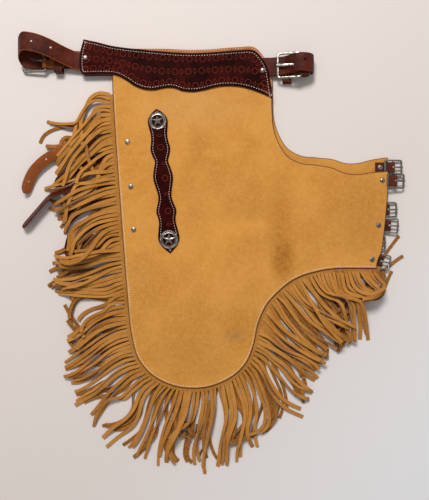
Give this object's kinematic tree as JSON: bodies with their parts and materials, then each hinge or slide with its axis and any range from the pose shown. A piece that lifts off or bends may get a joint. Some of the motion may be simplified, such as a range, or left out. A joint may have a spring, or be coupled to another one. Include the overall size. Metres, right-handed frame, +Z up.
{
  "type": "pair of fringed leather chaps",
  "caption": "Short fringed suede chaps with a tooled belt yoke, buckled leg straps and a waist belt, folded flat with one leg lying on the other.",
  "frame": {"origin": "middle of the footprint, on the surface that the chaps lie on", "axes": "+Z up from that surface, +X along the waist belt towards the thigh buckles, +Y from the fringed hem up to the belt"},
  "size_m": [0.6728, 0.7715, 0.039],
  "materials": {
    "suede": "napped split suede, matt",
    "fringe_suede": "cut strips of the same suede, matt, greyer on the cut edges",
    "tooled_leather": "stamped, dyed dark mahogany, soft gloss",
    "strap_leather": "oiled strap leather, soft gloss, russet flesh side",
    "lining": "plain lining leather, satin",
    "nickel": "antique nickel, satin with bright rubbed edges"
  },
  "bodies": {
    "root": {"belt_billet_left": "strap_leather", "belt_billet_right": "strap_leather", "belt_buckle_left": "nickel", "belt_buckle_right": "nickel", "belt_chape_left": "strap_leather", "belt_chape_right": "strap_leather", "belt_keeper_left": "strap_leather", "belt_keeper_right": "strap_leather", "belt_tongue_left": "nickel", "belt_tongue_right": "nickel", "concho_bottom": "nickel", "concho_top": "nickel", "fringe_far": "fringe_suede", "fringe_near": "fringe_suede", "leg_billet_far_1": "strap_leather", "leg_billet_far_2": "strap_leather", "leg_billet_far_3": "strap_leather", "leg_billet_near_1": "strap_leather", "leg_billet_near_2": "strap_leather", "leg_billet_near_3": "strap_leather", "leg_buckle_far_1": "nickel", "leg_buckle_far_2": "nickel", "leg_buckle_far_3": "nickel", "leg_buckle_near_1": "nickel", "leg_buckle_near_2": "nickel", "leg_buckle_near_3": "nickel", "leg_chape_far_1": "strap_leather", "leg_chape_far_2": "strap_leather", "leg_chape_far_3": "strap_leather", "leg_chape_near_1": "strap_leather", "leg_chape_near_2": "strap_leather", "leg_chape_near_3": "strap_leather", "leg_panel_far": "suede", "leg_panel_near": "suede", "leg_tongue_far_3": "nickel", "rivet_far_billet_1": "nickel", "rivet_far_billet_2": "nickel", "rivet_far_billet_3": "nickel", "rivet_far_buckle_1": "nickel", "rivet_far_buckle_2": "nickel", "rivet_far_buckle_3": "nickel", "rivet_near_billet_1": "nickel", "rivet_near_billet_2": "nickel", "rivet_near_billet_3": "nickel", "rivet_near_buckle_1": "nickel", "rivet_near_buckle_2": "nickel", "rivet_near_buckle_3": "nickel", "rivet_yoke_1": "nickel", "rivet_yoke_2": "nickel", "side_strip": "tooled_leather", "yoke_far": "tooled_leather", "yoke_lining_far": "lining", "yoke_near": "tooled_leather"},
    "tongue_near_1": {"leg_tongue_near_1": "nickel"},
    "tongue_near_2": {"leg_tongue_near_2": "nickel"},
    "tongue_near_3": {"leg_tongue_near_3": "nickel"},
    "tongue_far_1": {"leg_tongue_far_1": "nickel"},
    "tongue_far_2": {"leg_tongue_far_2": "nickel"}
  },
  "joints": [
    {"name": "tongue_near_1_swing", "type": "hinge", "parent": "root", "child": "tongue_near_1", "pos_m": [0.3195, 0.1322, 0.0102], "axis": [-0.0349, -0.9994, 0], "range_deg": [0, 100]},
    {"name": "tongue_near_2_swing", "type": "hinge", "parent": "root", "child": "tongue_near_2", "pos_m": [0.3095, 0.0542, 0.0054], "axis": [-0.0523, -0.9986, 0], "range_deg": [0, 90]},
    {"name": "tongue_near_3_swing", "type": "hinge", "parent": "root", "child": "tongue_near_3", "pos_m": [0.2955, -0.0083, 0.0054], "axis": [-0.2079, -0.9781, 0], "range_deg": [0, 90]},
    {"name": "tongue_far_1_swing", "type": "hinge", "parent": "root", "child": "tongue_far_1", "pos_m": [0.3165, 0.1562, 0.0055], "axis": [0, -1, 0], "range_deg": [0, 100]},
    {"name": "tongue_far_2_swing", "type": "hinge", "parent": "root", "child": "tongue_far_2", "pos_m": [0.3075, 0.0822, 0.0055], "axis": [0, -1, 0], "range_deg": [0, 90]}
  ]
}
